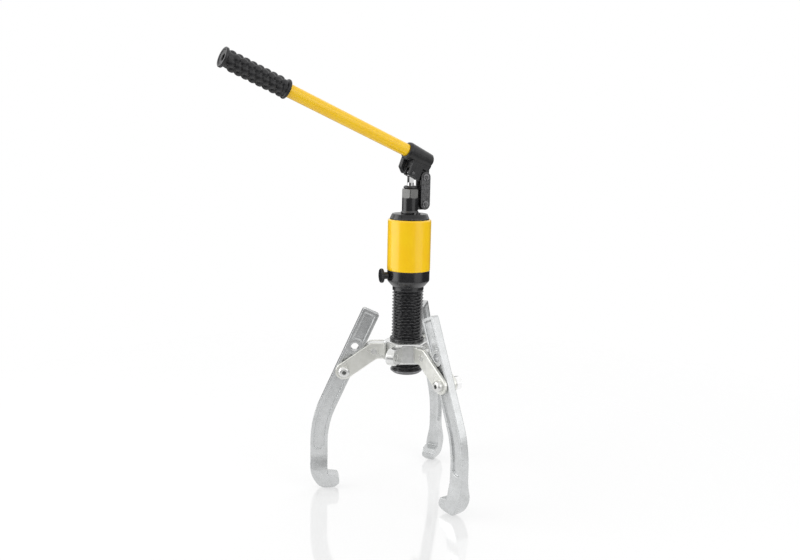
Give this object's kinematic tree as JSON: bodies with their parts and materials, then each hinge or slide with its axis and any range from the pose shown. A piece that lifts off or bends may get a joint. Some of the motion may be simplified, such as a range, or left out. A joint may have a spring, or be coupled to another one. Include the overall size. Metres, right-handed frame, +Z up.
{
  "type": "hydraulic gear puller",
  "caption": "Self-contained hydraulic gear puller: hooked jaws on a hub, a threaded barrel with an oil reservoir, and a hand pump with a long lever.",
  "frame": {"origin": "on the ram axis, on the level floor that the three jaw feet stand on", "axes": "+Z up along the ram axis towards the pump; +Y out through the back jaw"},
  "size_m": [0.3077, 0.4011, 0.6603],
  "materials": {
    "zinc_plate": "bright zinc plating over forged steel, faintly yellow, mottled",
    "zinc_fastener": "bright zinc plating, smooth",
    "blacked_steel": "oiled black oxide, semi-gloss, worn on edges",
    "black_paint": "semi-gloss black paint",
    "cast_black": "black paint over rough casting",
    "yellow_paint": "glossy yellow enamel",
    "grip_rubber": "matte moulded rubber with rows of raised bumps",
    "seal_rubber": "smooth nitrile",
    "polished_steel": "hard chrome, polished",
    "grey_nut_steel": "machined grey steel",
    "spring_steel": "oiled spring steel",
    "black_plastic": "moulded black plastic"
  },
  "bodies": {
    "hub": {"crosshead": "zinc_plate"},
    "lock_ring": {"lock_ring": "blacked_steel"},
    "stop_ring": {"stop_ring": "spring_steel"},
    "hydraulic": {"threaded_barrel": "blacked_steel", "reservoir_sleeve": "yellow_paint", "reservoir_bladder": "seal_rubber", "o_rings": "seal_rubber", "top_cap": "black_paint", "valve_balls": "polished_steel", "valve_springs": "spring_steel", "valve_plugs": "blacked_steel", "filler_plug": "blacked_steel", "pump_body": "blacked_steel", "pump_seal": "seal_rubber", "gland_nut": "grey_nut_steel", "gland_wiper": "black_plastic", "rod_wiper": "seal_rubber", "return_spring": "spring_steel"},
    "ram": {"ram": "polished_steel", "ram_tip": "grey_nut_steel", "piston_seal": "seal_rubber"},
    "release_valve": {"release_valve": "black_paint"},
    "links": {"link_plates": "blacked_steel", "link_pins": "blacked_steel", "link_clips": "spring_steel"},
    "lever": {"lever_socket": "cast_black", "clamp_screw": "blacked_steel", "handle_tube": "yellow_paint", "handle_grip": "grip_rubber"},
    "plunger": {"pump_plunger": "polished_steel", "plunger_pin": "blacked_steel"},
    "arm_back": {"arm_plates_back": "zinc_plate", "hub_pin_back": "zinc_fastener", "jaw_bolt_back": "zinc_fastener", "jaw_nut_back": "zinc_fastener", "jaw_washer_back": "zinc_fastener"},
    "jaw_back": {"jaw_back": "zinc_plate"},
    "arm_left": {"arm_plates_left": "zinc_plate", "hub_pin_left": "zinc_fastener", "jaw_bolt_left": "zinc_fastener", "jaw_nut_left": "zinc_fastener", "jaw_washer_left": "zinc_fastener"},
    "jaw_left": {"jaw_left": "zinc_plate"},
    "arm_right": {"arm_plates_right": "zinc_plate", "hub_pin_right": "zinc_fastener", "jaw_bolt_right": "zinc_fastener", "jaw_nut_right": "zinc_fastener", "jaw_washer_right": "zinc_fastener"},
    "jaw_right": {"jaw_right": "zinc_plate"}
  },
  "joints": [
    {"name": "lock_ring_turn", "type": "hinge", "parent": "hub", "child": "lock_ring", "pos_m": [0, 0, 0.245], "axis": [0, 0, 1], "range_deg": [0, 40]},
    {"name": "screw_feed", "type": "slide", "parent": "hub", "child": "stop_ring", "axis": [0, 0, 1], "range_m": [-0.035, 0.01]},
    {"name": "body_turn", "type": "hinge", "parent": "stop_ring", "child": "hydraulic", "pos_m": [0, 0, 0.19], "axis": [0, 0, 1], "range_deg": [-2521, 721]},
    {"name": "ram_stroke", "type": "slide", "parent": "hydraulic", "child": "ram", "axis": [0, 0, -1], "range_m": [0, 0.05], "stiffness_N_per_m": 400, "deforming": ["return_spring"]},
    {"name": "release_valve_turn", "type": "hinge", "parent": "hydraulic", "child": "release_valve", "pos_m": [-0.03038, -0.02678, 0.3432], "axis": [-0.7501, -0.6613, 0], "range_deg": [0, 270]},
    {"name": "link_swing", "type": "hinge", "parent": "hydraulic", "child": "links", "pos_m": [0.01273, 0.01916, 0.4515], "axis": [0.8329, -0.5534, 0], "range_deg": [-1.1, 0.2]},
    {"name": "lever_pump", "type": "hinge", "parent": "links", "child": "lever", "pos_m": [0.01273, 0.01916, 0.492], "axis": [0.8329, -0.5534, 0], "range_deg": [-5, 28]},
    {"name": "plunger_stroke", "type": "slide", "parent": "hydraulic", "child": "plunger", "axis": [0, 0, -1], "range_m": [-0.002, 0.0111]},
    {"name": "arm_back_swing", "type": "hinge", "parent": "hub", "child": "arm_back", "pos_m": [0, 0.0525, 0.225], "axis": [1, 0, 0], "range_deg": [-8, 4]},
    {"name": "jaw_back_swing", "type": "hinge", "parent": "arm_back", "child": "jaw_back", "pos_m": [0, 0.098, 0.1935], "axis": [1, 0, 0], "range_deg": [-22, 2.5]},
    {"name": "arm_left_swing", "type": "hinge", "parent": "hub", "child": "arm_left", "pos_m": [-0.04547, -0.02625, 0.225], "axis": [-0.5, 0.866, 0], "range_deg": [-8, 4]},
    {"name": "jaw_left_swing", "type": "hinge", "parent": "arm_left", "child": "jaw_left", "pos_m": [-0.08487, -0.049, 0.1935], "axis": [-0.5, 0.866, 0], "range_deg": [-22, 2.5]},
    {"name": "arm_right_swing", "type": "hinge", "parent": "hub", "child": "arm_right", "pos_m": [0.04547, -0.02625, 0.225], "axis": [-0.5, -0.866, 0], "range_deg": [-8, 4]},
    {"name": "jaw_right_swing", "type": "hinge", "parent": "arm_right", "child": "jaw_right", "pos_m": [0.08487, -0.049, 0.1935], "axis": [-0.5, -0.866, 0], "range_deg": [-22, 2.5]}
  ],
  "couplings": [
    {"joint": "body_turn", "follows": "screw_feed", "rad_per_m": 1256.6},
    {"joint": "link_swing", "follows": "lever_pump", "ratio": -0.039},
    {"joint": "plunger_stroke", "follows": "lever_pump", "m_per_rad": 0.0225}
  ]
}
